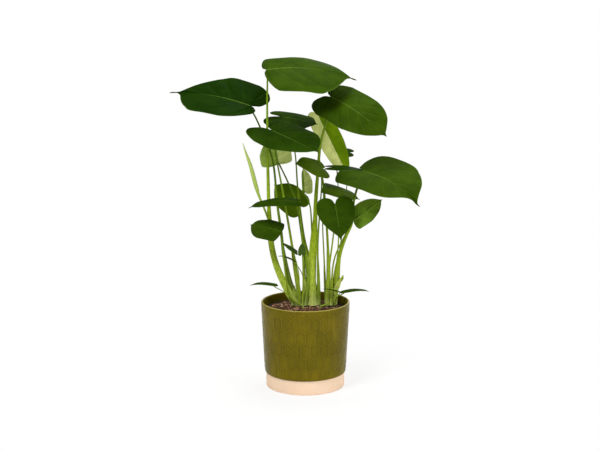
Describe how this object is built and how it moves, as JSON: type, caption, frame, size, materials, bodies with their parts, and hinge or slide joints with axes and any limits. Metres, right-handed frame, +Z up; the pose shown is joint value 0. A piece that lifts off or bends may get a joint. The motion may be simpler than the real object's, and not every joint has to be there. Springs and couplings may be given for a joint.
{
  "type": "potted monstera plant",
  "caption": "Young potted monstera with heart-shaped leaves on long stalks, in an olive glazed cachepot with a hexagon relief and a bare clay foot.",
  "frame": {"origin": "centre of the cachepot's flat underside", "axes": "+Z up along the pot's axis, -Y towards the front of the plant, +X to its right"},
  "size_m": [0.5317, 0.2403, 0.7013],
  "materials": {
    "glaze": "gloss",
    "pot_plastic": "matte",
    "potting_mix": "matte",
    "crown_bark": "matte",
    "leaf": "satin",
    "young_leaf": "satin",
    "stalk": "satin"
  },
  "bodies": {
    "root": {"blade_back_right": "leaf", "blade_centre": "leaf", "blade_dark_back": "leaf", "blade_front": "leaf", "blade_grey_right": "leaf", "blade_half_open": "young_leaf", "blade_hanging": "young_leaf", "blade_left": "leaf", "blade_low_left": "leaf", "blade_middle": "leaf", "blade_olive": "leaf", "blade_pale_back": "young_leaf", "blade_right": "leaf", "blade_right_back": "leaf", "blade_rim_small": "leaf", "blade_seedling_left": "leaf", "blade_seedling_right": "leaf", "blade_shade": "leaf", "blade_side_left": "leaf", "blade_small_a": "leaf", "blade_small_b": "leaf", "blade_small_c": "leaf", "blade_top": "leaf", "blade_upper_right": "leaf", "cachepot": "glaze", "crown_left": "crown_bark", "crown_middle": "crown_bark", "crown_right": "crown_bark", "crown_seedling_left": "crown_bark", "crown_seedling_right": "crown_bark", "grow_pot": "pot_plastic", "new_leaf": "young_leaf", "soil": "potting_mix", "stalk_back_right": "stalk", "stalk_centre": "stalk", "stalk_dark_back": "stalk", "stalk_front": "stalk", "stalk_grey_right": "stalk", "stalk_half_open": "stalk", "stalk_hanging": "stalk", "stalk_left": "stalk", "stalk_low_left": "stalk", "stalk_middle": "stalk", "stalk_olive": "stalk", "stalk_pale_back": "stalk", "stalk_right": "stalk", "stalk_right_back": "stalk", "stalk_rim_small": "stalk", "stalk_seedling_left": "stalk", "stalk_seedling_right": "stalk", "stalk_shade": "stalk", "stalk_side_left": "stalk", "stalk_small_a": "stalk", "stalk_small_b": "stalk", "stalk_small_c": "stalk", "stalk_top": "stalk", "stalk_upper_right": "stalk"}
  },
  "joints": []
}
